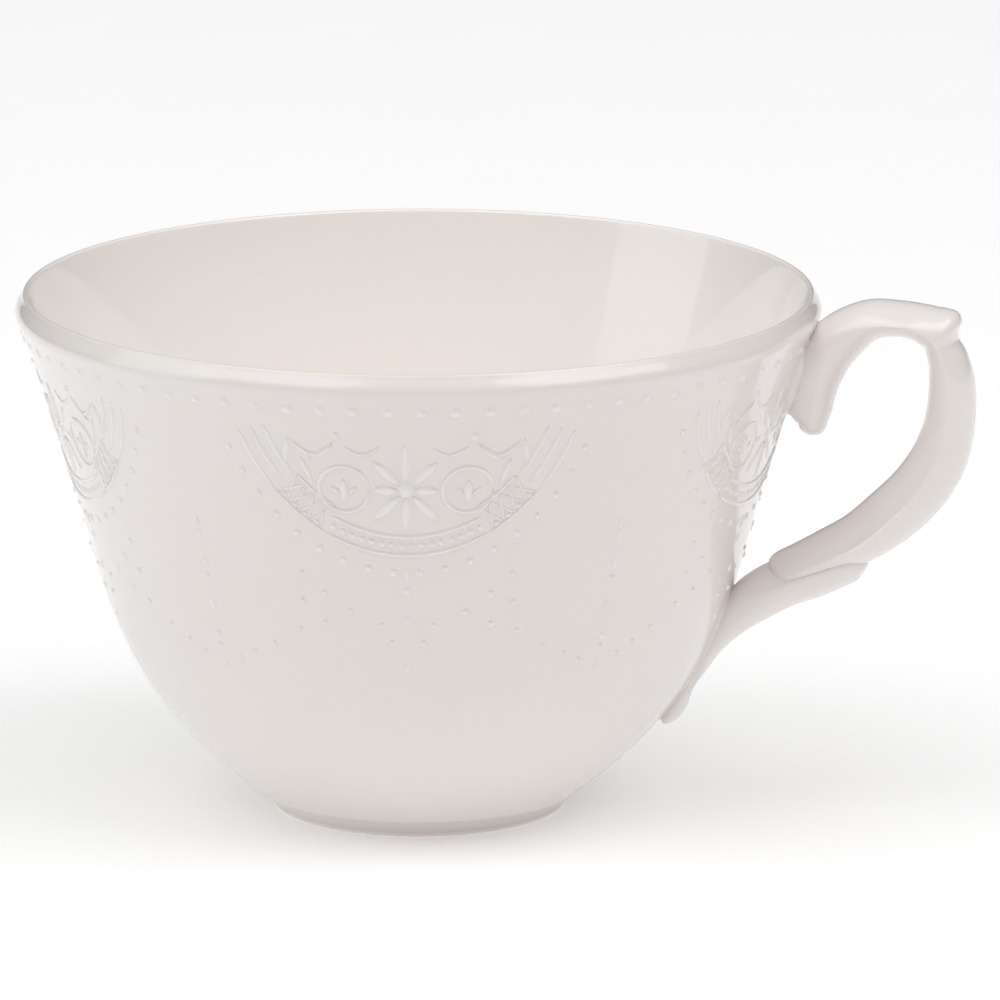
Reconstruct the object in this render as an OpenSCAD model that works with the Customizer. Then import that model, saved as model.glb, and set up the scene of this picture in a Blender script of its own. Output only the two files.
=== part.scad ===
// Porcelain teacup with a scroll handle, a turned foot and a band of lace relief.
// The cup stands on z = 0 with its axis on the Z axis, and the handle lies over the +X axis.

/* [Bowl] */
// Outside diameter of the mouth, over the lip
mouth_d = 100; // [94:1:106]
// Height from the table to the top of the lip
cup_h = 65.5; // [61.5:0.5:69.5]
// Width of the lip, from its widest place in to its top
lip_w = 1.35; // [1.2:0.05:1.5]
// Radius of the lip's top edge
edge_r = 0.42; // [0.36:0.02:0.48]

/* [Foot] */
// Outside radius of the foot where it joins the bowl
foot_top_r = 19.4; // [18.8:0.1:20]
// Outside radius of the foot near the table
foot_base_r = 18.3; // [17.8:0.1:18.6]
// Radial thickness of the foot
foot_t = 2.8; // [2.4:0.1:3.2]
// Height of the foot
foot_h = 2.5; // [2.2:0.1:2.8]
// Rounding of the foot's two lower edges
foot_round = 0.6; // [0.4:0.1:0.8]

/* [Handle] */
// Thickness of the slip that sticks the handle to the wall
slip_t = 0.4; // [0.3:0.1:0.5]
// Sides of the handle's section
handle_sides = 18; // [12:2:24]
// Rings between two neighbouring stations of the handle
handle_steps = 3; // [2:1:4]

/* [Relief] */
// Repeats of the lace pattern around the wall
repeats = 5; // [4:1:6]
// Angle of the first medallion from the handle
pattern_turn = -82; // [-90:1:-70]
// Height of the relief above the wall
relief_h = 0.4; // [0.3:0.05:0.5]
// Radius of an ordinary bead
bead_r = 0.45; // [0.35:0.05:0.55]
// Beads of the rim row in each repeat
rim_beads = 15; // [12:1:18]
// Width of a raised lace line
line_w = 0.6; // [0.5:0.1:0.8]

/* [Hidden] */

$fn = 96;
sr = mouth_d / 100;
sz = cup_h / 65;
porcelain = [0.93, 0.91, 0.89];
porcelain_shade = [0.88, 0.86, 0.83];
porcelain_light = [0.97, 0.96, 0.95];

// Point of a cubic Bezier curve, and a run of such points that can leave out its first one
function bezier(p, t) = pow(1 - t, 3) * p[0] + 3 * t * pow(1 - t, 2) * p[1]
    + 3 * t * t * (1 - t) * p[2] + pow(t, 3) * p[3];
function bezier_run(p, n, first = 0) = [for (i = [first:n]) bezier(p, i / n)];

// Points of an arc, leaving out its first one
function arc_run(centre, r, from, to, n) =
    [for (i = [1:n]) let (a = from + (to - from) * i / n) centre + r * [cos(a), sin(a)]];

// The lip is a shoulder that leans in from its widest place, and a small arc over the top edge
mouth_r = mouth_d / 2;
edge_centre = [mouth_r - lip_w, cup_h - edge_r];
edge_start = edge_centre + edge_r * [cos(25), sin(25)];
edge = arc_run(edge_centre, edge_r, 25, 165, 6);
shoulder = [
    [mouth_r - 0.2, cup_h - 3.1], [mouth_r + 0.4, cup_h - 1.9],
    [mouth_r - 0.53, cup_h - 1.15], edge_start
];

// Outside of the wall: a round belly, then a nearly straight flare up to the lip
belly = [[20.6 * sr, foot_h], [25.1 * sr, 6.4 * sz], [35.7 * sr, 13.2 * sz], [40.5 * sr, 32.1 * sz]];
flare = [[40.5 * sr, 32.1 * sz], [43.2 * sr, 42 * sz], [46.3 * sr, 54 * sz], shoulder[0]];

// Inside of the wall, from the lip down to the middle of the floor
inside_top = [edge[5], [45.3 * sr, 54 * sz], [41 * sr, 42.5 * sz], [38.5 * sr, 32.6 * sz]];
inside_low = [[38.5 * sr, 32.6 * sz], [34 * sr, 14.6 * sz], [23 * sr, 5.6 * sz], [0, 5.4 * sz]];

wall_line = concat(bezier_run(belly, 10), bezier_run(flare, 8, 1));
wall_table = [for (p = wall_line) [p[1], p[0]]];
function wall_r(z) = lookup(z, wall_table);

// Point on the wall at an angle and height, lifted off it by a distance
function on_wall(a, z, lift = 0) = let (r = wall_r(z) + lift) [r * cos(a), r * sin(a), z];

// Closed skin over rings of points that all have the same count, with a fan over each end
module skin(rings) {
    n = len(rings[0]);
    last = len(rings) - 1;
    sides = [
        for (i = [0:last - 1], j = [0:n - 1]) let (k = (j + 1) % n)
            each [[i * n + j, i * n + k, (i + 1) * n + k], [i * n + j, (i + 1) * n + k, (i + 1) * n + j]]
    ];
    ends = [for (j = [1:n - 2]) each [[0, j + 1, j], [last * n, last * n + j, last * n + j + 1]]];
    polyhedron([for (ring = rings) each ring], concat(sides, ends));
}

// ---- Bowl ----
module bowl() {
    color(porcelain)
        rotate_extrude()
            polygon(concat(
                [[0, foot_h]], wall_line,
                bezier_run(shoulder, 7, 1),
                edge,
                bezier_run(inside_top, 8, 1), bezier_run(inside_low, 12, 1)
            ));
}

// ---- Foot ring ----
module foot_ring() {
    inner_r = foot_base_r - foot_t;
    out = foot_base_r - foot_round;
    in = inner_r + foot_round;
    color(porcelain_shade)
        rotate_extrude()
            polygon(concat(
                [[foot_top_r, foot_h], [foot_base_r, foot_round]],
                arc_run([out, foot_round], foot_round, 0, -90, 4),
                [[in, 0]],
                arc_run([in, foot_round], foot_round, -90, -180, 4),
                [[inner_r, foot_h]]
            ));
}

// ---- Handle ----
// Stations from the foot of the finger scroll, over the arm and thumb leaf, down the strap and
// through the two gripping leaf tips to the end of the stalk: radius, height, reach to the outer
// side, reach to the inner side, half width
stations = [
    [49.5, 48.5, 0.3, 0.3, 0.4], [49.5, 49.0, 1.4, 1.3, 1.8], [49.5, 50.1, 2.0, 1.8, 2.7],
    [49.5, 51.2, 3.4, 2.1, 3.1], [49.8, 53.5, 4.2, 2.4, 3.5], [50.4, 56.4, 4.2, 2.8, 3.9],
    [51.6, 59.0, 3.8, 3.0, 4.2], [53.8, 61.4, 3.2, 2.9, 4.4], [56.8, 63.0, 2.7, 2.3, 4.6],
    [60.2, 63.3, 2.3, 2.1, 4.7], [62.8, 62.8, 2.6, 2.1, 4.7], [64.6, 61.6, 3.9, 2.1, 4.6],
    [65.4, 60.4, 2.2, 2.2, 4.4], [66.2, 58.4, 2.5, 2.5, 4.4], [66.6, 55.8, 2.9, 2.8, 4.4],
    [66.6, 52.5, 3.1, 3.0, 4.4], [66.1, 49.0, 3.3, 3.3, 4.4], [64.8, 45.5, 3.6, 3.5, 4.4],
    [62.4, 41.9, 3.7, 3.6, 4.4], [59.0, 38.5, 3.6, 3.6, 4.5], [56.4, 36.3, 3.4, 3.5, 4.6],
    [55.0, 35.2, 3.6, 3.5, 4.6], [53.8, 34.4, 4.3, 3.5, 4.6], [51.2, 32.8, 4.1, 3.5, 4.5],
    [48.0, 31.2, 3.7, 3.5, 4.3], [46.2, 30.3, 3.5, 3.4, 4.1], [45.2, 29.7, 3.3, 2.9, 3.9],
    [42.8, 27.5, 2.7, 3.1, 3.7], [39.7, 24.6, 1.9, 2.6, 3.3], [37.3, 21.5, 1.2, 2.2, 2.8],
    [35.5, 18.5, 0.9, 1.8, 2.4], [34.1, 16.1, 0.7, 1.8, 2.1], [32.9, 13.9, 1.1, 1.8, 2.0],
    [31.9, 12.5, 1.0, 1.5, 1.8], [31.0, 11.4, 0.4, 0.4, 0.6]
];

// Point of a Catmull-Rom curve through the stations
function station(i) = stations[max(0, min(len(stations) - 1, i))];
function along(i, t) = let (a = station(i - 1), b = station(i), c = station(i + 1), d = station(i + 2))
    0.5 * (2 * b + (c - a) * t + (2 * a - 5 * b + 4 * c - d) * t * t + (3 * b - a - 3 * c + d) * t * t * t);
handle_line = [
    for (i = [0:len(stations) - 2], j = [0:handle_steps - 1]) along(i, j / handle_steps),
    station(len(stations) - 1)
];

// A point inside the slip's outer face is pushed out to it, so the handle sits face to face on the slip
function off_wall(p) = let (r = norm([p[0], p[1]]), face = wall_r(p[2]) + slip_t)
    r < face ? [p[0] * face / r, p[1] * face / r, p[2]] : p;

// Oval ring of the handle about place i of its line, square to the line
function handle_ring(i) = let (
        here = handle_line[i],
        ahead = handle_line[min(i + 1, len(handle_line) - 1)],
        behind = handle_line[max(i - 1, 0)],
        run = [ahead[0] - behind[0], ahead[1] - behind[1]],
        side = [-run[1], run[0]] / norm(run)
    ) [
        for (j = [0:handle_sides - 1]) let (
            a = 360 * j / handle_sides,
            reach = cos(a) * (cos(a) > 0 ? here[2] : here[3])
        ) off_wall([(here[0] + side[0] * reach) * sr, sin(a) * here[4], (here[1] + side[1] * reach) * sz])
    ];

module handle() {
    color(porcelain_shade)
        skin([for (i = [0:len(handle_line) - 1]) handle_ring(i)]);
}

// ---- Slip joints ----
// Thin bed of slip on the wall from z = low to high, widest part way up, with feathered edges
pad_across = 8;
pad_up = 14;
module slip_pad(low, high, half_w, tip_w) {
    skin([
        for (i = [0:pad_up]) let (
            t = i / pad_up,
            z = low + (high - low) * t,
            half_a = (tip_w + (half_w - tip_w) * sqrt(sin(180 * t))) / wall_r(z) * 180 / PI
        ) concat(
            [for (j = [0:pad_across]) on_wall(half_a * (2 * j / pad_across - 1), z)],
            [for (j = [1:pad_across - 1]) on_wall(half_a * (1 - 2 * j / pad_across), z, slip_t)]
        )
    ]);
}

module upper_slip_joint() {
    color(porcelain_light) slip_pad(50.4 * sz, 61.9 * sz, 3.9, 1.2);
}

module lower_slip_joint() {
    color(porcelain_light) slip_pad(11.6 * sz, 31.2 * sz, 3.1, 1.0);
}

// ---- Relief ----
// Relief is left off the wall where the handle stands on it
function under_handle(a, z) = abs((a + 540) % 360 - 180) < 7 && (z > 46 * sz || z < 32 * sz);

// Low bead with a six-sided foot on the wall and a smaller flat top
bead_sides = 6;
function bead_ring(a, z, r, lift) = let (mm = wall_r(z) * PI / 180) [
    for (j = [0:bead_sides - 1]) let (b = -360 * j / bead_sides)
        on_wall(a + r * cos(b) / mm, z + r * sin(b), lift)
];
module bead(a, z, r = bead_r, h = relief_h) {
    if (!under_handle(a, z))
        skin([bead_ring(a, z, r, 0), bead_ring(a, z, 0.55 * r, h)]);
}

// Raised line along points of angle and height, three-sided, as wide as each point's third value
module raised_line(points, h = relief_h) {
    last = len(points) - 1;
    hidden = [for (p = points) if (under_handle(p[0], p[1])) p];
    if (len(hidden) == 0) skin([
        for (i = [0:last]) let (
            here = points[i],
            ahead = points[min(i + 1, last)],
            behind = points[max(i - 1, 0)],
            mm = wall_r(here[1]) * PI / 180,
            run = [(ahead[0] - behind[0]) * mm, ahead[1] - behind[1]],
            side = [-run[1], run[0]] / norm(run) * here[2] / 2
        ) [
            on_wall(here[0] + side[0] / mm, here[1] + side[1]),
            on_wall(here[0] - side[0] / mm, here[1] - side[1]),
            on_wall(here[0], here[1], h)
        ]
    ]);
}

// Scalloped lace medallion: two arcs hung from the rim, a flower of eight petals and two oval rings
medallion_top = 61.9 * sz;
arc_radii = [20.4, 18.2];
arc_end = 57.2 * sz;
flower_z = 50.2 * sz;
mm_per_degree = wall_r(50 * sz) * PI / 180;

function medallion_arc(a, radius, reach) = [
    for (i = [-10:10]) let (b = reach * i / 10)
        [a + radius * sin(b) / mm_per_degree, medallion_top - radius * cos(b), line_w]
];
function petal(a, z, turn, from, to, w) = [
    for (i = [0:4]) let (r = from + (to - from) * i / 4)
        [a + r * sin(turn) / mm_per_degree, z + r * cos(turn), 0.1 + w * sin(45 * i)]
];
function half_oval(a, z, across, up, side) = [
    for (i = [-4:4]) let (b = 19.5 * i)
        [a + side * across * cos(b) / mm_per_degree, z + up * sin(b), line_w]
];

module medallion(a) {
    for (radius = arc_radii)
        raised_line(medallion_arc(a, radius, acos((medallion_top - arc_end) / radius)));
    for (turn = [0:45:315])
        raised_line(petal(a, flower_z, turn, 1.3, 4.5, 1.4));
    bead(a, flower_z, 0.9, 1.2 * relief_h);
    for (side = [-1, 1]) {
        centre = a + side * 9.8;
        raised_line(half_oval(centre, flower_z, 2.4, 2.9, 1));
        raised_line(half_oval(centre, flower_z, 2.4, 2.9, -1));
        raised_line(petal(centre, flower_z - 1.6, 0, 0, 3.2, 1.6));
        raised_line(petal(a + side * 3.2, 55.3 * sz, side * 60, 0, 4.2, 1.1));
        raised_line(petal(a + side * 10.5, 56.6 * sz, side * 110, 0, 4.2, 1.1));
    }
}

// Beads of one garland half, from beside the medallion down to the foot of the chain: angle from
// the medallion's middle and height
garland = [
    [13, 43.2], [8.2, 41.2], [2.8, 39.5], [14, 36.3], [17.5, 38.8], [18, 35], [14.3, 32.3], [9.8, 34],
    [4.4, 32.4], [2.8, 30], [19, 31.3], [24.5, 29], [28.6, 27.6], [31.8, 26.4], [18.5, 45.4],
    [23.3, 50.2], [26, 53], [28.4, 56.2]
];
// Beads of the drop below a medallion and of the chain between two medallions: height, radius
drop = [[39.5, 0.45], [38.1, 0.7], [33, 0.55], [26.6, 0.5]];
chain = [[44.4, 0.55], [42.9, 0.75], [38.9, 0.65], [37.4, 0.6], [33.2, 0.65], [29.2, 0.6], [27.8, 0.45], [25, 0.6]];

module rim_bead_row() {
    step = 360 / repeats / rim_beads;
    color(porcelain_light)
        for (i = [0:repeats * rim_beads - 1])
            bead(pattern_turn + step * (i + 0.5), 60.4 * sz, 0.7);
}

module lace_medallions() {
    color(porcelain_light)
        for (i = [0:repeats - 1])
            medallion(pattern_turn + 360 * i / repeats);
}

module bead_garlands() {
    pitch = 360 / repeats;
    color(porcelain_light)
        for (i = [0:repeats - 1]) {
            middle = pattern_turn + pitch * i;
            for (p = garland, side = [-1, 1])
                bead(middle + side * p[0] * pitch / 72, p[1] * sz);
            for (p = drop) bead(middle, p[0] * sz, p[1]);
            for (p = chain) bead(middle + pitch / 2, p[0] * sz, p[1]);
        }
}

bowl();
foot_ring();
handle();
upper_slip_joint();
lower_slip_joint();
rim_bead_row();
lace_medallions();
bead_garlands();
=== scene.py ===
# %% [markdown]
# # A porcelain teacup, built as surfaces worked out with numpy
# The cup is three pieces of clay: a round bowl, a low foot under it, and a handle that was cast by itself and
# stuck on with slip. A band of lace relief runs round the wall. Each lesson below makes one of them.
#
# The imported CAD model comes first. It fixes the frame (metres, +Z up, handle over +X) and every overall size,
# so the new pieces only have to be finer, never bigger. All shapes are worked out in millimetres and turned
# into metres when they become meshes.

# %% Load the fixed frame
import bpy
import numpy as np
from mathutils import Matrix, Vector


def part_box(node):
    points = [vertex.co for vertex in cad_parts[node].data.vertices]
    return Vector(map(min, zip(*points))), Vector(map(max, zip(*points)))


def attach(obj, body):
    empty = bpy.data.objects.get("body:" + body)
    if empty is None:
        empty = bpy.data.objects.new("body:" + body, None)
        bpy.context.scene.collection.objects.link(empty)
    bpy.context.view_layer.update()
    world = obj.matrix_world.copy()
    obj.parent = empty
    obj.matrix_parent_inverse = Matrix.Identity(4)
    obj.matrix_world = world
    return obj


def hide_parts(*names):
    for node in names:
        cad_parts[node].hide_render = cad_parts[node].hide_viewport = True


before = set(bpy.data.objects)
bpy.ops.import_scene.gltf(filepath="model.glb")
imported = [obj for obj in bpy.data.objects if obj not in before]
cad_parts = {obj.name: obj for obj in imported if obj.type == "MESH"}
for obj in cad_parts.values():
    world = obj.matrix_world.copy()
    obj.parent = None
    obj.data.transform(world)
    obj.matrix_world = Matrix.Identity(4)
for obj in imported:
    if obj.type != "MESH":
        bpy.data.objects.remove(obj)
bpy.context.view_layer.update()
print("CAD nodes:", sorted(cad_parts))

# %% Driving sizes, read from the frame
MM = 0.001
bowl_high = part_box("bowl")[1]
foot_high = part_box("foot_ring")[1]
mouth_r = bowl_high.y / MM
cup_h = bowl_high.z / MM
foot_h = foot_high.z / MM
foot_top_r = foot_high.y / MM
print(f"mouth radius {mouth_r:.2f} mm, cup height {cup_h:.2f} mm, foot {foot_h:.2f} mm high")

# %% [markdown]
# ## Curves
# A potter's profile is a few sweeping curves. A cubic Bezier curve draws one with four points: it leaves the
# first towards the second and reaches the last from the third. All its points are worked out at once, as one
# array, which is also how every surface here is made.

# %% Bezier and arc helpers
def bezier(points, count):
    """Points on a cubic Bezier: the four corners weighted by (1-t)^3, 3t(1-t)^2, 3t^2(1-t) and t^3."""
    t = np.linspace(0, 1, count)[:, None]
    a, b, c, d = np.asarray(points, float)
    return (1 - t) ** 3 * a + 3 * t * (1 - t) ** 2 * b + 3 * t ** 2 * (1 - t) * c + t ** 3 * d


def arc(centre, radius, start, end, count):
    """Points on a circle: centre plus radius times (cosine, sine) of each angle, in degrees."""
    a = np.radians(np.linspace(start, end, count))
    return np.asarray(centre) + radius * np.stack([np.cos(a), np.sin(a)], -1)


def hill(x):
    """One at 0 and nothing at 1 or -1: half of one plus the cosine of pi x."""
    return 0.5 * (1 + np.cos(np.pi * np.clip(x, -1, 1)))


def joined(*runs):
    """Several runs of points end to end, each leaving out its first point, which the run before ends on."""
    return np.concatenate([runs[0]] + [run[1:] for run in runs[1:]])


# %% [markdown]
# ## The profile of the bowl
# Half of the bowl's outline is drawn once, as radius against height, and later spun about the axis, which is
# what the jigger's template does to the clay. The belly is round, the wall above it flares almost straight,
# and the lip leans in from its widest place to a thin rounded edge, which is kinder to the mouth than a roll.
# The points are given for a mouth radius of 50 mm and a height of 65 mm, and R and H stretch them to the
# frame's own sizes.

# %% Profile of the wall, the lip and the inside
R = mouth_r / 50.0
H = cup_h / 65.0
lip_w, edge_r = 1.35, 0.42
lip_x = mouth_r - lip_w
top_edge = arc((lip_x, cup_h - edge_r), edge_r, 25, 165, 18)
shoulder = bezier([(mouth_r - 0.2, cup_h - 3.1), (mouth_r + 0.4, cup_h - 1.9),
                   (mouth_r - 0.53, cup_h - 1.15), top_edge[0]], 24)
lip = joined(shoulder, top_edge)
belly = bezier([(20.6 * R, foot_h), (25.1 * R, 6.4 * H), (35.7 * R, 13.2 * H), (40.5 * R, 32.1 * H)], 60)
flare = bezier([(40.5 * R, 32.1 * H), (43.2 * R, 42 * H), (46.3 * R, 54 * H), lip[0]], 50)
inside_top = bezier([lip[-1], (45.3 * R, 54 * H), (41 * R, 42.5 * H), (38.5 * R, 32.6 * H)], 46)
inside_low = bezier([(38.5 * R, 32.6 * H), (34 * R, 14.6 * H), (23 * R, 5.6 * H), (0, 5.4 * H)], 60)
wall_line = joined(belly, flare)
print(f"wall drawn with {len(wall_line)} points, lip {lip_w + edge_r:.2f} mm from widest to inside")

# %% [markdown]
# ## Places on the wall
# Relief and handle both sit on the wall, so one function turns "so far round, so high up, so far off the
# wall" into a point in space. The lift is measured square to the wall, along the profile's normal, so a bead
# leans with the wall under it.

# %% From angle, height and lift to a point
wall_slope = np.gradient(wall_line[:, 0], wall_line[:, 1])


def wall_r(z):
    """Radius of the wall's outside at height z, read off the profile."""
    return np.interp(z, wall_line[:, 1], wall_line[:, 0])


def on_wall(angle, z, lift):
    """The wall's point at that angle and height, moved by lift along the normal.

    The normal is (1, -slope) made one unit long.
    """
    slope = np.interp(z, wall_line[:, 1], wall_slope)
    unit = 1 / np.sqrt(1 + slope ** 2)
    r = wall_r(z) + lift * unit
    return np.stack([r * np.cos(angle), r * np.sin(angle), z - lift * slope * unit], -1)


# %% [markdown]
# ## From arrays to meshes
# A surface on a grid of rows and columns becomes quads by joining each point to its neighbours. A `Shell`
# gathers grids and end caps into one closed skin, and several shells can go into one piece.

# %% Faces of a grid, and a gatherer of closed skins
def grid_quads(rows, columns, around=True):
    """Quads of a grid, row by row; with around, the last column joins the first."""
    i = np.arange(rows - 1)[:, None]
    j = np.arange(columns if around else columns - 1)[None, :]
    k = (j + 1) % columns
    return np.stack([i * columns + j, i * columns + k, (i + 1) * columns + k, (i + 1) * columns + j],
                    -1).reshape(-1, 4)


class Shells:
    """Points and faces of many closed skins, gathered into one mesh."""

    def __init__(self):
        self.points, self.faces, self.count = [], [], 0

    def add(self, rings, caps=True):
        """A skin over rings (rows, columns, 3) that close on themselves, with a flat cap on each end."""
        rows, columns = rings.shape[:2]
        self.faces += (grid_quads(rows, columns) + self.count).tolist()
        if caps:
            first = self.count + np.arange(columns)
            self.faces += [first[::-1].tolist(), (first + (rows - 1) * columns).tolist()]
        self.points.append(rings.reshape(-1, 3))
        self.count += rows * columns

    def piece(self, name, material, slot, *nodes):
        """Makes the mesh object, in metres, smooth, riding on the one body and standing for the CAD nodes."""
        mesh = bpy.data.meshes.new(name)
        mesh.from_pydata((np.concatenate(self.points) * MM).tolist(), [], self.faces)
        mesh.validate()
        mesh.shade_smooth()
        mesh.materials.append(material)
        thing = bpy.data.objects.new(name, mesh)
        bpy.context.scene.collection.objects.link(thing)
        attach(thing, "root")
        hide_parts(*nodes)
        triangles = sum(len(f) - 2 for f in self.faces)
        print(f"{name}: {len(self.points)} skins, {triangles} triangles")


# %% [markdown]
# ## Shader maths as Python
# A material is a graph of nodes. Wrapping a socket in a small class lets the graph be written as sums: each
# `+`, `-` and `*` adds a Math node. Any other node comes from one method that takes its type, its settings
# and what goes into its sockets.

# %% A wrapper for sockets, and a maker of materials
class Value:
    """A shader socket that can be added, subtracted and multiplied."""

    def __init__(self, glaze, socket):
        self.glaze, self.socket = glaze, socket

    def maths(self, operation, a, b):
        return self.glaze.node("ShaderNodeMath", {"operation": operation}, {0: a, 1: b}).out("Value")

    def __add__(self, other):
        return self.maths("ADD", self, other)

    def __sub__(self, other):
        return self.maths("SUBTRACT", self, other)

    def __rsub__(self, other):
        return self.maths("SUBTRACT", other, self)

    def __mul__(self, other):
        return self.maths("MULTIPLY", self, other)

    __radd__ = __add__
    __rmul__ = __mul__


class Node:
    """A node whose outputs are read as Values."""

    def __init__(self, glaze, made):
        self.glaze, self.made = glaze, made

    def out(self, name):
        return Value(self.glaze, self.made.outputs[name])


class Finish:
    """A material under construction."""

    def __init__(self, name):
        self.material = bpy.data.materials.new(name)
        self.material.use_nodes = True
        self.tree = self.material.node_tree
        self.tree.nodes.clear()

    def node(self, kind, settings=None, sockets=None):
        """Adds a node, sets its settings, then gives each named socket a number, a colour or a link."""
        made = self.tree.nodes.new(kind)
        for key, value in (settings or {}).items():
            setattr(made, key, value)
        for key, value in (sockets or {}).items():
            if isinstance(value, Value):
                self.tree.links.new(value.socket, made.inputs[key])
            else:
                made.inputs[key].default_value = value
        return Node(self, made)

    def mix(self, factor, a, b):
        """A colour between a and b."""
        made = self.node("ShaderNodeMix", {"data_type": "RGBA"}, {0: factor, 6: a, 7: b})
        return Value(self, made.made.outputs[2])

    def finish(self, surface):
        self.node("ShaderNodeOutputMaterial", None, {"Surface": surface})
        return self.material


# %% [markdown]
# ## Porcelain under a clear glaze
# Fired porcelain is a dense, slightly see-through white. The glaze over it is a thin coat of glass: clear,
# hard and smooth, but it has run a little while molten, so reflections waver. The white is never quite even.
# In the shader the body is a diffuse base with a touch of light passing under the surface, and the glaze is
# the coat. Wide clouds of noise shift the white between warm and cool, and very low bumps bend the shine.
#
# The inside of the bowl is painted a little whiter than its outside: painted light, standing for the light
# that falls into the cup. The relief is painted a little whiter than the wall, a painted highlight on its
# beads and lines, and the handle a little whiter too, painted light on its shaded strap. The inside is found
# from the surface itself: there the normal points towards the axis, so the place, taken level, times the
# normal is negative.

# %% Glazed porcelain
warm_white = (0.94, 0.87, 0.84, 1)
cool_white = (0.94, 0.89, 0.86, 1)
bare_white = (0.92, 0.86, 0.83, 1)


def tint(colour, level):
    """The colour with its red, green and blue times level."""
    return tuple(level * c for c in colour[:3]) + (1,)


def glazed(name, level=0.87, paint_inside_lighter=False, bare_below=None):
    """Glazed porcelain, its white times level.

    On a piece that asks for it, the inner wall is painted whiter: painted light, standing for the light that
    falls into the cup. The inner wall is where the dot product of level place and normal is well below zero.
    Below the height bare_below, in metres, the glaze was wiped off before firing.
    """
    glaze = Finish(name)
    place = glaze.node("ShaderNodeTexCoord").out("Object")
    noise = "ShaderNodeTexNoise"
    clouds = glaze.node(noise, None, {"Vector": place, "Scale": 28.0, "Detail": 2.0}).out("Fac")
    ripple = glaze.node(noise, None, {"Vector": place, "Scale": 110.0, "Detail": 1.0}).out("Fac")
    peel = glaze.node(noise, None, {"Vector": place, "Scale": 900.0, "Detail": 1.0}).out("Fac")
    colour = glaze.mix(clouds, tint(warm_white, level), tint(cool_white, level))
    # Painted light: where the mask finds the inner wall, the colour is painted whiter to stand for the light
    # that falls into the cup.
    if paint_inside_lighter:
        vector = "ShaderNodeVectorMath"
        across = glaze.node(vector, {"operation": "MULTIPLY"}, {0: place, 1: (1, 1, 0)}).out("Vector")
        facing = glaze.node("ShaderNodeNewGeometry").out("Normal")
        outwards = glaze.node(vector, {"operation": "DOT_PRODUCT"}, {0: across, 1: facing}).out("Value")
        inside = glaze.node("ShaderNodeMapRange", None, {
            "Value": outwards, "From Min": -12 * MM, "From Max": -24 * MM}).out("Result")
        colour = glaze.mix(inside, colour, tint(cool_white, 1.03))
    roughness = 0.30 + 0.10 * peel
    coat = 1.0
    if bare_below is not None:
        height = glaze.node("ShaderNodeSeparateXYZ", None, {"Vector": place}).out("Z")
        bare = glaze.node("ShaderNodeMapRange", {"interpolation_type": "SMOOTHSTEP"}, {
            "Value": height, "From Min": bare_below * 1.4, "From Max": bare_below}).out("Result")
        colour = glaze.mix(bare, colour, bare_white)
        roughness = roughness + 0.45 * bare
        coat = 1.0 - bare
    waves = glaze.node("ShaderNodeBump", None,
                       {"Strength": 0.25, "Distance": 0.0004, "Height": ripple + 0.05 * peel}).out("Normal")
    surface = glaze.node("ShaderNodeBsdfPrincipled", None, {
        "Base Color": colour, "Roughness": roughness, "IOR": 1.5, "Subsurface Weight": 0.12,
        "Subsurface Radius": (1.0, 0.85, 0.7), "Subsurface Scale": 0.0015,
        "Coat Weight": coat, "Coat Roughness": 0.06, "Coat IOR": 1.5, "Normal": waves})
    return glaze.finish(surface.out("BSDF"))


# The bowl's glaze has its inner wall painted whiter: painted light.
porcelain = glazed("porcelain_glaze_painted_inner_light", paint_inside_lighter=True)
# The handle is painted a little whiter than the bowl: painted light that lifts its shaded strap.
handle_porcelain = glazed("handle_glaze_painted_light", level=0.89)
# The relief is painted whiter than the wall: a painted highlight on its beads and lines.
relief_porcelain = glazed("relief_glaze_painted_highlight", level=0.94)
foot_porcelain = glazed("foot_glaze", bare_below=0.45 * MM)
print("glazes:", [m.name for m in (porcelain, handle_porcelain, relief_porcelain, foot_porcelain)])

# %% [markdown]
# ## The bowl
# Spinning a profile gives a surface of revolution: each point of the profile goes round a circle. The profile
# starts beside the axis under the floor, runs out to the foot, up the wall, over the lip and down the inside
# to the axis again. A small flat disc closes each end, so the skin has no open edge and no pinched pole.

# %% Spin the bowl
def spun(profile, segments):
    """A ring for each profile point: radius times (cosine, sine) of the turn, at the point's height."""
    turn = 2 * np.pi * np.arange(segments) / segments
    r, z = profile[:, 0][:, None], profile[:, 1][:, None]
    return np.stack([r * np.cos(turn), r * np.sin(turn), z + 0 * turn], -1)


def bowl():
    """One skin in one spin: under the floor, up the wall, over the lip and down the inside."""
    under = np.stack([np.linspace(0.3, 20.6 * R, 12), np.full(12, foot_h)], -1)
    inside = joined(inside_top, inside_low)
    profile = joined(under, wall_line, lip, inside[:-1])
    shells = Shells()
    shells.add(spun(profile, 288))
    shells.piece("bowl_piece", porcelain, "porcelain", "bowl")


bowl()

# %% [markdown]
# ## The foot ring
# The foot is turned with a trimming tool: straight sides that lean in a little, and an edge rounded so that
# it doesn't chip. The cup stands on that edge, so it is wiped clean of glaze, or it would stick to the kiln
# shelf.

# %% Spin the foot
def foot():
    """A closed tube: the outside, the rounded edge that the cup stands on, the inside and the top."""
    base_r, thick, edge_r = 18.3 * R, 2.8 * R, 0.6
    taper = 1.1
    inner_r = foot_top_r - thick - taper
    outside = bezier([(foot_top_r, foot_h + 0.05), (foot_top_r - 0.35, 1.9),
                      (base_r + 0.1, 1.3), (base_r, edge_r)], 12)
    outer_edge = arc((base_r - edge_r, edge_r), edge_r, 0, -90, 9)
    inner_edge = arc((inner_r + edge_r, edge_r), edge_r, -90, -180, 9)
    top = np.array([[inner_r, foot_h + 0.05]])
    profile = np.concatenate([joined(outside, outer_edge), inner_edge, top])[::-1]
    rings = spun(profile, 192)
    shells = Shells()
    shells.add(np.concatenate([rings, rings[:1]]), caps=False)
    shells.piece("foot_piece", foot_porcelain, "foot_porcelain", "foot_ring")


foot()
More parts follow.
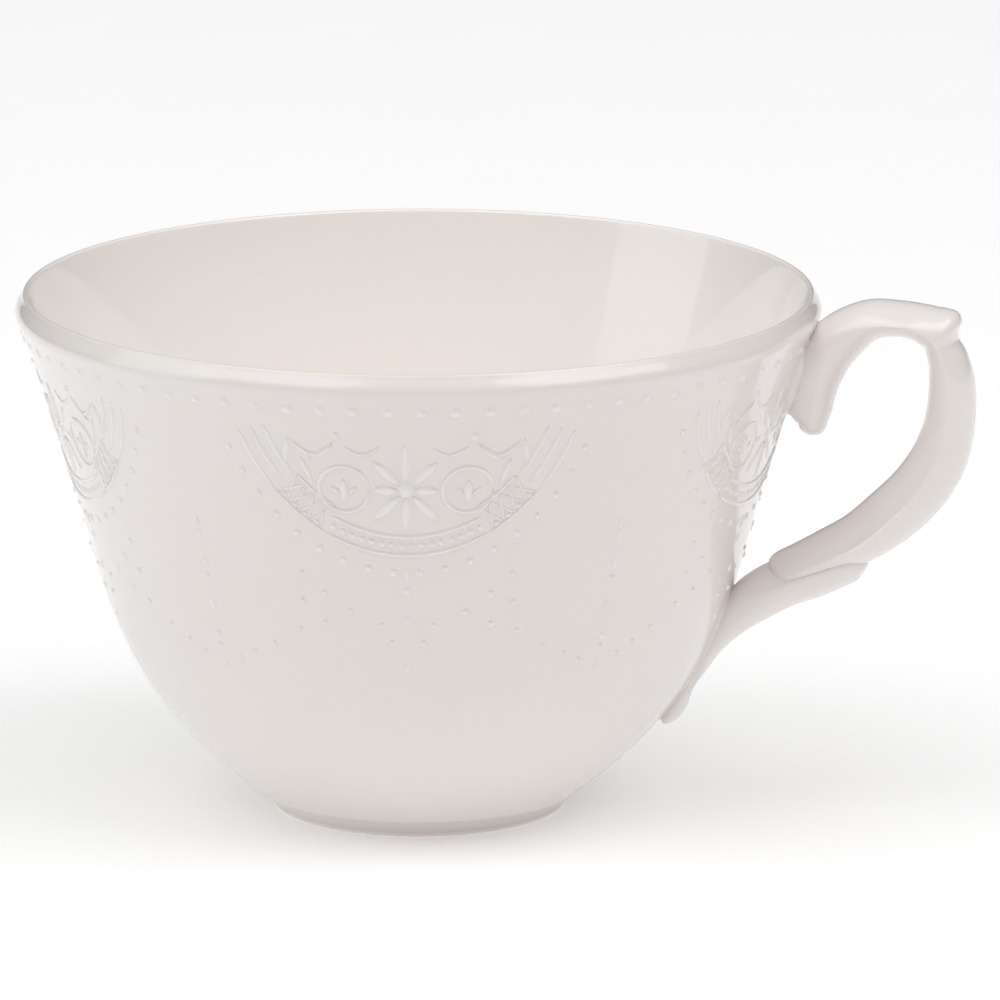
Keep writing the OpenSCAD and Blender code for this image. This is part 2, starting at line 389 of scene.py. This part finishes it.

# %% [markdown]
# ## The handle
# The handle was modelled as two leaves that grip each other. The long one starts as a rounded scroll beside
# the wall, climbs, arches over, ends its first stretch in a thumb leaf, and comes down as a strap whose tip
# lies on the inner side of the second leaf. The second leaf's tip lies on the outer side of the strap, and
# its stalk runs down the wall to a small curl. Each leaf is a lens-shaped section carried along a path. The
# path's stations are listed, and a Catmull-Rom curve, which passes through every one, joins them.

# %% Carry a section along a path
rib_spread = 17


def through(stations, steps):
    """Catmull-Rom curve: half of 2b + (c-a)t + (2a-5b+4c-d)t^2 + (3b-a-3c+d)t^3 between b and c."""
    s = np.asarray(stations, float)
    s = np.concatenate([s[:1], s, s[-1:]])
    a, b, c, d = (s[i:len(s) - 3 + i, None, :] for i in range(4))
    t = (np.arange(steps) / steps)[None, :, None]
    curve = 0.5 * (2 * b + (c - a) * t + (2 * a - 5 * b + 4 * c - d) * t ** 2
                   + (3 * b - a - 3 * c + d) * t ** 3)
    return np.concatenate([curve.reshape(-1, s.shape[1]), s[-1:]])


def swept(stations, steps, sides, rib=0.0, rib_top=0.0, rib_foot=0.0, rib_inner=0.0):
    """Rings about a line of (x, z, out, in, half width, out power, in power) in the handle's plane.

    Round the ring by angle a, the reach is out or in times |cos a| to its power, and the sideways place is
    half width times sin a. Power 1 is an ellipse, near 2 the sides are sharp ridges, and below 1 the ring is
    boxy. Between the heights rib_foot and rib_top, and only farther out than rib_inner, a rib of a cosine's
    shape runs along both sides. It is rib high and reaches rib_spread degrees to each side of its crest.
    """
    line = through(stations, steps) * [1, H, 1, 1, 1, 1, 1]
    run = np.gradient(line[:, :2], axis=0)
    run /= np.linalg.norm(run, axis=1)[:, None]
    normal = np.stack([-run[:, 1], run[:, 0]], -1)[:, None, :]
    a = (2 * np.pi * np.arange(sides) / sides)[None, :]
    c = np.cos(a)
    outwards, inwards = (line[:, k:k + 1] * np.abs(c) ** line[:, k + 3:k + 4] for k in (2, 3))
    reach = np.where(c > 0, outwards, -inwards)
    across = np.sin(a) * line[:, 4:5]
    if rib:
        middle, half = (rib_top + rib_foot) / 2, (rib_top - rib_foot) / 2
        on_line = (line[:, 0:1] > rib_inner) * hill((line[:, 1:2] - middle) / half) ** 0.5
        from_crest = np.degrees(np.arccos(np.abs(np.sin(a)))) / rib_spread
        across = across + rib * on_line * np.sign(np.sin(a)) * hill(from_crest)
    flat = line[:, None, :2] + normal * reach[..., None]
    return np.stack([flat[..., 0], across, flat[..., 1]], -1)


def tucked(points, depth):
    """Points that lie deeper in the wall than depth are moved out, level, to that depth."""
    r = np.hypot(points[..., 0], points[..., 1])
    limit = wall_r(points[..., 2]) - depth
    scale = np.where(r < limit, limit / np.maximum(r, 1e-6), 1)
    return points * np.stack([scale, scale, np.ones_like(scale)], -1)


# %% Stations of the two leaves: x, z, reach outwards, reach inwards, half width, out power, in power
strap = [
    (49.5, 48.5, 0.3, 0.3, 0.4, 1.0, 1.0), (49.5, 48.7, 1.0, 1.0, 1.2, 1.0, 1.0),
    (49.5, 49.3, 1.7, 1.5, 2.1, 1.0, 1.1), (49.5, 50.1, 2.0, 1.8, 2.7, 0.9, 1.2),
    (49.5, 50.8, 2.8, 2.0, 3.0, 0.8, 1.3), (49.6, 51.8, 4.2, 2.2, 3.3, 0.65, 1.4),
    (49.9, 53.9, 4.8, 2.4, 3.6, 0.6, 1.5), (50.4, 56.4, 4.8, 2.8, 3.9, 0.7, 1.6),
    (51.6, 59.0, 3.8, 3.0, 4.2, 1.0, 1.7), (53.8, 61.4, 3.2, 2.9, 4.4, 1.3, 1.8),
    (56.8, 63.0, 2.7, 2.3, 4.6, 1.5, 1.8), (60.2, 63.3, 2.3, 2.1, 4.7, 1.6, 1.8),
    (62.4, 62.9, 2.5, 2.1, 4.7, 1.6, 1.7), (63.8, 62.2, 3.2, 2.1, 4.65, 1.5, 1.6),
    (64.6, 61.6, 3.9, 2.1, 4.6, 1.4, 1.6), (65.0, 61.1, 3.3, 2.1, 4.5, 1.4, 1.5),
    (65.4, 60.4, 2.2, 2.2, 4.4, 1.4, 1.4), (66.2, 58.4, 2.5, 2.5, 4.4, 1.3, 1.3),
    (66.6, 55.8, 2.9, 2.8, 4.4, 1.3, 1.3), (66.6, 52.5, 3.1, 3.0, 4.4, 1.3, 1.3),
    (66.1, 49.0, 3.3, 3.3, 4.4, 1.3, 1.3), (64.8, 45.5, 3.6, 3.5, 4.4, 1.4, 1.3),
    (62.4, 41.9, 3.7, 3.6, 4.4, 1.6, 1.3), (59.0, 38.5, 3.6, 3.6, 4.5, 1.8, 1.3),
    (55.4, 35.6, 3.1, 3.4, 4.6, 1.6, 1.2), (51.4, 33.4, 2.4, 3.2, 4.6, 1.4, 1.1),
    (48.2, 31.8, 1.8, 3.0, 4.3, 1.2, 1.0), (46.0, 30.7, 1.4, 2.9, 3.6, 1.0, 1.0),
    (45.1, 30.2, 0.9, 2.2, 2.5, 1.0, 1.0), (44.8, 30.1, 0.2, 1.0, 0.8, 1.0, 1.0)
]
stalk = [
    (56.2, 34.0, 0.4, 0.5, 0.8, 1.0, 1.0), (55.5, 33.6, 1.9, 1.2, 2.4, 1.0, 1.0),
    (54.3, 33.2, 2.9, 1.8, 3.4, 1.0, 1.0), (52.0, 32.3, 3.2, 2.4, 3.9, 1.1, 1.0),
    (49.4, 31.2, 3.3, 3.0, 4.1, 1.1, 1.0), (46.0, 29.6, 3.0, 3.2, 4.0, 1.1, 1.0),
    (42.8, 27.4, 2.6, 3.4, 3.7, 1.1, 0.8), (39.7, 24.6, 1.9, 2.8, 3.3, 1.1, 0.7),
    (37.3, 21.5, 1.2, 2.2, 2.8, 1.1, 0.7), (35.5, 18.5, 0.9, 1.8, 2.4, 1.1, 0.7),
    (34.1, 16.1, 0.7, 1.8, 2.1, 1.1, 0.7), (32.9, 13.9, 1.05, 1.8, 2.0, 1.1, 0.7),
    (31.9, 12.5, 1.0, 1.5, 1.8, 1.0, 0.8), (31.2, 11.6, 0.6, 0.8, 1.2, 1.0, 1.0),
    (30.9, 11.2, 0.2, 0.2, 0.4, 1.0, 1.0)
]
print(f"handle stations: strap {len(strap)}, stalk {len(stalk)}")

# %% Build the handle
def handle():
    """Two closed skins, the strap and the stalk, that lie no deeper in the wall than 0.6 mm."""
    shells = Shells()
    shells.add(tucked(swept(strap, 10, 80, rib=0.5, rib_top=41.5, rib_foot=34.0, rib_inner=53), 0.6))
    shells.add(tucked(swept(stalk, 10, 56), 0.6))
    shells.piece("handle_piece", handle_porcelain, "porcelain", "handle")


handle()

# %% [markdown]
# ## Slip joints
# Slip is clay thinned to cream. The potter scores both faces, brushes slip on, presses the handle home and
# wipes the bead that squeezes out with a wet brush, which leaves a small hollow fillet. The fillet here runs
# round the joint's outline: wide where it lies on the wall, and drawn in under the handle as it rises. The
# outline is a rounded oblong as wide, at each height, as the handle is there.

# %% Make the two fillets
def fillet(stations, low, high, spread, rise, inset):
    """Rings round an upright oblong: its spread shrinks as 1 - sin and its lift grows as 1 - cos.

    Sine and cosine to the power 0.6 make the oblong, and its half width is the handle's at each height.
    """
    upright = np.asarray(stations, float) * [1, H, 1, 1, 1, 1, 1]
    upright = upright[upright[:, 1].argsort()]
    a = 2 * np.pi * np.arange(120) / 120
    q = np.linspace(0, np.pi / 2, 10)[:, None]
    out = spread * (1 - np.sin(q)) - inset
    tall, wide = (np.sign(part) * np.abs(part) ** 0.6 for part in (np.sin(a), np.cos(a)))
    z = (low + high) / 2 + ((high - low) / 2 + out) * tall
    y = (np.interp(z, upright[:, 1], upright[:, 4]) + out) * wide
    skirt = on_wall(y / wall_r(z), z, rise * (1 - np.cos(q)) + 0 * a)
    buried = on_wall(y[:1] / wall_r(z[:1]), z[:1], -0.3 + 0 * a)
    shells = Shells()
    shells.add(np.concatenate([buried, skirt]))
    return shells


upper = fillet(strap[3:9], low=51.6, high=60.2, spread=1.3, rise=1.3, inset=0.3)
upper.piece("upper_slip_fillet", handle_porcelain, "slip", "upper_slip_joint")
lower = fillet(stalk[4:13], low=12.2, high=28.6, spread=1.0, rise=0.8, inset=0.3)
lower.piece("lower_slip_fillet", handle_porcelain, "slip", "lower_slip_joint")

# %% [markdown]
# ## Relief: a bead and a raised line
# The lace is carved into the mould, so on the cup it is low, and the glaze rounds it off. Two tools draw all
# of it. A bead is a low round hill. A raised line is a hill carried along a curve on the wall. Both hills
# follow a cosine, level at the top and level at the foot, so they grow out of the wall with no hard edge, and
# both reach a little below the wall so that no gap shows.

# %% Hills on the wall
sink = 0.05
pattern_turn = np.radians(-82.0)
repeats = 5
pitch = 2 * np.pi / repeats
per_mm = 1 / wall_r(50 * H)
print(f"{repeats} repeats, each {np.degrees(pitch):.0f} degrees round the wall")


def bead(shells, angle, z, radius, height, long=1.0):
    """A round hill of rings at the given angle and height; long stretches it up and down the wall."""
    spoke = 2 * np.pi * np.arange(12) / 12
    ring = np.array([1.0, 0.8, 0.6, 0.4, 0.2])[:, None]
    side = angle + radius * ring * np.cos(spoke) / wall_r(z)
    up = z + long * radius * ring * np.sin(spoke)
    lift = -sink + (height + sink) * hill(ring) + 0 * spoke
    shells.add(on_wall(side, up, lift))


def raised_line(shells, u, z, width, height, middle):
    """A hill carried along points (u, z), u in mm round the wall from middle; it thins out at both ends."""
    u, z = np.asarray(u, float), np.asarray(z, float)
    run = np.stack([np.gradient(u), np.gradient(z)], -1)
    run /= np.linalg.norm(run, axis=1)[:, None]
    s = np.linspace(-1, 1, 9)[None, :]
    along = np.linspace(0, 1, len(u))[:, None]
    thin = 0.15 + 0.85 * np.clip(np.minimum(along, 1 - along) * len(u) / 3, 0, 1) ** 0.5
    w = np.broadcast_to(np.asarray(width, float), u.shape)[:, None] * thin
    side = u[:, None] - run[:, 1:] * s * w / 2
    up = z[:, None] + run[:, :1] * s * w / 2
    lift = -sink + (height * thin + sink) * hill(s)
    shells.add(on_wall(middle + side * per_mm, up, lift))


# %% [markdown]
# ## The rim row
# A single row of beads runs under the lip, fifteen to each repeat of the pattern.

# %% Beads under the lip
def rim_row():
    """Beads at even turns, each a little wider than it is tall."""
    shells = Shells()
    count = 15 * repeats
    for i in range(count):
        bead(shells, pattern_turn + 2 * np.pi * (i + 0.5) / count, 60.4 * H, 1.05, 0.26, 0.8)
    shells.piece("rim_bead_piece", relief_porcelain, "relief_porcelain", "rim_bead_row")


rim_row()

# %% [markdown]
# ## The lace medallions
# Each medallion hangs from the rim like a scalloped cloth: three arcs on each side, a net where the scallop
# turns, a beaded band at the bottom, a flower of eight petals, an oval ring with a bud on each side of it,
# and small swags above. The lines could be a bump in the shader, but as geometry they also show in outline.
# Every curve is a formula in millimetres round the wall and up it.

# %% Curves of one medallion
top_z = 61.9 * H
flower_z = 50.2 * H
line_w, line_h = 1.0, 0.14
petals = ((0, 6.2), (45, 5.4), (90, 4.0), (135, 5.8), (180, 5.6), (225, 5.8), (270, 4.0), (315, 5.4))


def scallop(radius, start, end, count):
    """Arc of that radius hung from the medallion's top, between two angles from straight down, in degrees."""
    a = np.radians(np.linspace(start, end, count))
    return radius * np.sin(a), top_z - radius * np.cos(a)


def oval(x, z, across, up, count=25):
    """Ellipse about (x, z)."""
    a = np.linspace(0, 2 * np.pi, count)
    return x + across * np.cos(a), z + up * np.sin(a)


def spoke(x, z, turn, start, end, count=9):
    """Straight run from start to end mm out of (x, z), turned clockwise from upright by turn degrees."""
    t = np.linspace(start, end, count)
    return x + t * np.sin(np.radians(turn)), z + t * np.cos(np.radians(turn))


def leaf_width(widest, count=9):
    """Width along a leaf: the widest times the square root of the sine of pi t, never quite nothing."""
    return widest * (0.1 + 0.9 * np.sqrt(np.sin(np.pi * np.linspace(0, 1, count))))


def half_medallion(line, dot, side):
    """The arcs, the net, the oval and the swags on one side of the flower; side is 1 or -1."""
    for radius in (20.4, 18.7, 17.0):
        line(scallop(radius, side * 77, side * 53, 14))
    for radius in (20.4, 16.6):
        line(scallop(radius, side * 53, side * 31, 14), 0.7, 0.18)
    for start in np.arange(32, 52, 5):
        for lean in (-5.5, 5.5):
            t = np.linspace(0, 1, 8)
            a = np.radians(side * (start + 2.5 + lean * (t - 0.5)))
            r = 16.6 + 3.8 * t
            line((r * np.sin(a), top_z - r * np.cos(a)), 0.6, 0.17)
        a = np.radians(side * (start + 2.5))
        dot(19.9 * np.sin(a), top_z - 19.9 * np.cos(a), 0.5, 0.25)
    line(oval(side * 7.5, flower_z, 3.1, 3.0), 0.8, 0.2)
    line(spoke(side * 7.5, flower_z - 0.6, 0, -1.4, 2.0), leaf_width(1.5), 0.3)
    line(spoke(side * 7.5, flower_z - 1.0, 50, 0.5, 2.1), leaf_width(0.8), 0.18)
    line(spoke(side * 7.5, flower_z - 1.0, -50, 0.5, 2.1), leaf_width(0.8), 0.18)
    t = np.linspace(0, 1, 11)
    line((side * (2.9 + 4.4 * t), 56.0 * H - 1.2 * np.sin(np.pi * t)), 0.7, 0.18)
    line((side * (8.4 + 5.0 * t), 56.4 * H - 1.8 * np.sin(np.pi * t)), 0.8, 0.2)
    line(spoke(side * 8.1, 56.2 * H, side * 125, 0.4, 4.2), leaf_width(1.2), 0.2)
    line(spoke(side * 13.8, 57.0 * H, side * 170, 0.2, 4.4), leaf_width(1.3), 0.2)
    line(spoke(side * 12.6, 54.4 * H, side * 200, 0.2, 4.0), leaf_width(1.2), 0.2)
    dot(side * 8.0, 57.2 * H, 0.7, 0.25)


# %% One medallion, then all of them
def medallion(shells, middle):
    """The two sides, then the beaded band under the flower, and the flower itself."""
    def line(curve, width=line_w, height=line_h):
        raised_line(shells, *curve, width, height, middle)

    def dot(x, z, radius, height):
        bead(shells, middle + x * per_mm, z, radius, height)

    for side in (-1, 1):
        half_medallion(line, dot, side)
    for radius in (20.4, 18.0):
        line(scallop(radius, -31, 31, 33), 0.8, 0.2)
    for a in np.radians(np.arange(-28.5, 28.6, 3.8)):
        dot(19.2 * np.sin(a), top_z - 19.2 * np.cos(a), 0.62, 0.22)
    for turn, length in petals:
        line(spoke(0, flower_z, turn, 0.9, length, 11), leaf_width(1.7, 11), 0.24)
    dot(0, flower_z, 1.2, 0.34)


def medallions():
    """One medallion in each repeat of the pattern."""
    shells = Shells()
    for i in range(repeats):
        medallion(shells, pattern_turn + pitch * i)
    shells.piece("lace_piece", relief_porcelain, "relief_porcelain", "lace_medallions")


medallions()

# %% [markdown]
# ## Garlands and drops
# A row of single beads follows each scallop from outside. More beads sketch garlands that fall from the
# medallions, and a drop below each medallion and a chain between two start with tear-shaped links. Each bead
# is given by its place and radius, and the five repeats are one loop.

# %% Beads of the garlands
garland = [
    (14, 36.3, 0.75), (17.5, 38.8, 0.6), (18, 35, 0.65), (14.3, 32.3, 0.7), (9.8, 34, 0.65), (4.4, 32.4, 0.5),
    (2.8, 30, 0.6), (19, 31.3, 0.5), (24.5, 29, 0.6), (28.6, 27.6, 0.5), (31.8, 26.4, 0.6)
]
drop = [(39.0, 0.6, 2.0), (36.9, 0.75, 1.0), (33, 0.75, 1.2), (26.6, 0.65, 1.3)]
chain = [
    (44.0, 0.6, 1.6), (42.2, 0.7, 1.5), (38.6, 0.85, 1.2), (36.8, 0.6, 1.0),
    (33.2, 0.85, 1.2), (29.2, 0.75, 1.0), (27.8, 0.55, 1.0), (25, 0.75, 1.2)
]
edging_r, edging_step = 22.8, 8.4
bead_h = 0.24


def garlands():
    """Beads of every repeat, each side of its middle, with a drop below it and a chain half a pitch on.

    A garland bead is (degrees from the middle, height, radius), a drop or chain bead (height, radius, long).
    """
    shells = Shells()
    for i in range(repeats):
        middle = pattern_turn + pitch * i
        for degrees, z, radius in garland:
            for side in (-1, 1):
                bead(shells, middle + side * np.radians(degrees), z * H, radius, bead_h)
        for a in np.radians(np.arange(edging_step / 2, 76, edging_step)):
            for side in (-1, 1):
                turn = middle + side * edging_r * np.sin(a) * per_mm
                bead(shells, turn, top_z - edging_r * np.cos(a), 0.72, bead_h)
        for z, radius, long in drop:
            bead(shells, middle, z * H, radius, bead_h, long)
        for z, radius, long in chain:
            bead(shells, middle + pitch / 2, z * H, radius, bead_h, long)
    shells.piece("garland_piece", relief_porcelain, "relief_porcelain", "bead_garlands")


garlands()

# %% [markdown]
# ## The table and the light
# White china on white is lit so that its edges part from the ground by shade alone. The table is a pale sheet
# that glows faintly, like a light table, so the foot and the lower wall are lit from below. The room is dim
# at the horizon and bright overhead. Two broad lamps in front, high on the left and the right, reach into
# the cup, a larger one hangs overhead, and a smaller cool one shines along the wall from the left, so that
# the lace stands out.

# %% Floor
def floor():
    """A square sheet of pale paper with a faint glow, half metres out from its middle on every side."""
    paper = Finish("pale_paper")
    grain = paper.node("ShaderNodeTexNoise", None, {"Scale": 300.0}).out("Fac")
    colour = paper.mix(grain, (0.85, 0.85, 0.85, 1), (0.87, 0.87, 0.87, 1))
    sheet = paper.node("ShaderNodeBsdfPrincipled", None, {
        "Base Color": colour, "Roughness": 0.9, "Emission Color": (1, 1, 1, 1), "Emission Strength": 0.23})
    half = 3.0
    mesh = bpy.data.meshes.new("floor")
    corners = [(-half, -half, 0), (half, -half, 0), (half, half, 0), (-half, half, 0)]
    mesh.from_pydata(corners, [], [(0, 1, 2, 3)])
    mesh.materials.append(paper.finish(sheet.out("BSDF")))
    table = bpy.data.objects.new("floor", mesh)
    bpy.context.scene.collection.objects.link(table)
    print(f"floor {2 * half:.0f} m across")


floor()

# %% Camera, low in front, with the handle to the right
camera_side = np.radians(-80.5)
camera_rise = np.radians(13.36)
camera_distance = 1.3
right = np.array([-np.sin(camera_side), np.cos(camera_side), 0])
aim = 0.0101 * right + np.array([0, 0, 0.0386])


def seen_from(side, rise, distance):
    """Point at that distance from the aim, side degrees round from the camera and rise degrees up."""
    a, e = camera_side + np.radians(side), np.radians(rise)
    return aim + distance * np.array([np.cos(a) * np.cos(e), np.sin(a) * np.cos(e), np.sin(e)])


def pointed(thing, place, target):
    """Puts a camera or lamp at a place, looking at the target, level."""
    thing.location = Vector(place)
    thing.rotation_euler = (Vector(target) - Vector(place)).to_track_quat("-Z", "Y").to_euler()
    bpy.context.scene.collection.objects.link(thing)


lens = bpy.data.cameras.new("camera")
lens.sensor_width = 36.0
lens.lens = 375.9
lens.clip_end = 20.0
camera = bpy.data.objects.new("camera", lens)
pointed(camera, seen_from(0, np.degrees(camera_rise), camera_distance), aim)
bpy.context.scene.camera = camera
print(f"camera {np.degrees(camera_rise):.1f} degrees up, {camera_distance} m away")

# %% Lamps and the bright room
def lamp(name, place, size, power, colour=(1, 1, 1)):
    """A square soft lamp, size in metres and power in watts, turned towards the cup."""
    light = bpy.data.lights.new(name, "AREA")
    light.shape = "SQUARE"
    light.size = size
    light.energy = power
    light.color = colour
    pointed(bpy.data.objects.new(name, light), place, (0, 0, 0.03))


lamp("overhead", seen_from(0, 82, 1.6), 2.2, 2.0)
lamp("front_left", seen_from(-52, 58, 1.6), 1.2, 6.0)
lamp("front_right", seen_from(60, 56, 1.6), 1.2, 8.4)
lamp("side", seen_from(-82, 22, 1.5), 0.9, 2.6, (0.88, 1.0, 0.98))


def bright_room(level, overhead):
    """World whose light grows with the height looked at: level at the horizon, overhead straight up."""
    room = bpy.data.worlds.new("bright_room")
    room.use_nodes = True
    tree = room.node_tree
    place = tree.nodes.new("ShaderNodeTexCoord")
    split = tree.nodes.new("ShaderNodeSeparateXYZ")
    rise = tree.nodes.new("ShaderNodeMapRange")
    rise.inputs["To Min"].default_value = level
    rise.inputs["To Max"].default_value = overhead
    tree.links.new(place.outputs["Generated"], split.inputs[0])
    tree.links.new(split.outputs["Z"], rise.inputs["Value"])
    tree.links.new(rise.outputs["Result"], tree.nodes["Background"].inputs["Strength"])
    tree.nodes["Background"].inputs["Color"].default_value = (1, 1, 1, 1)
    bpy.context.scene.world = room


bright_room(0.12, 0.66)
bpy.context.scene.view_settings.view_transform = "Standard"
bpy.context.scene.cycles.diffuse_bounces = 8
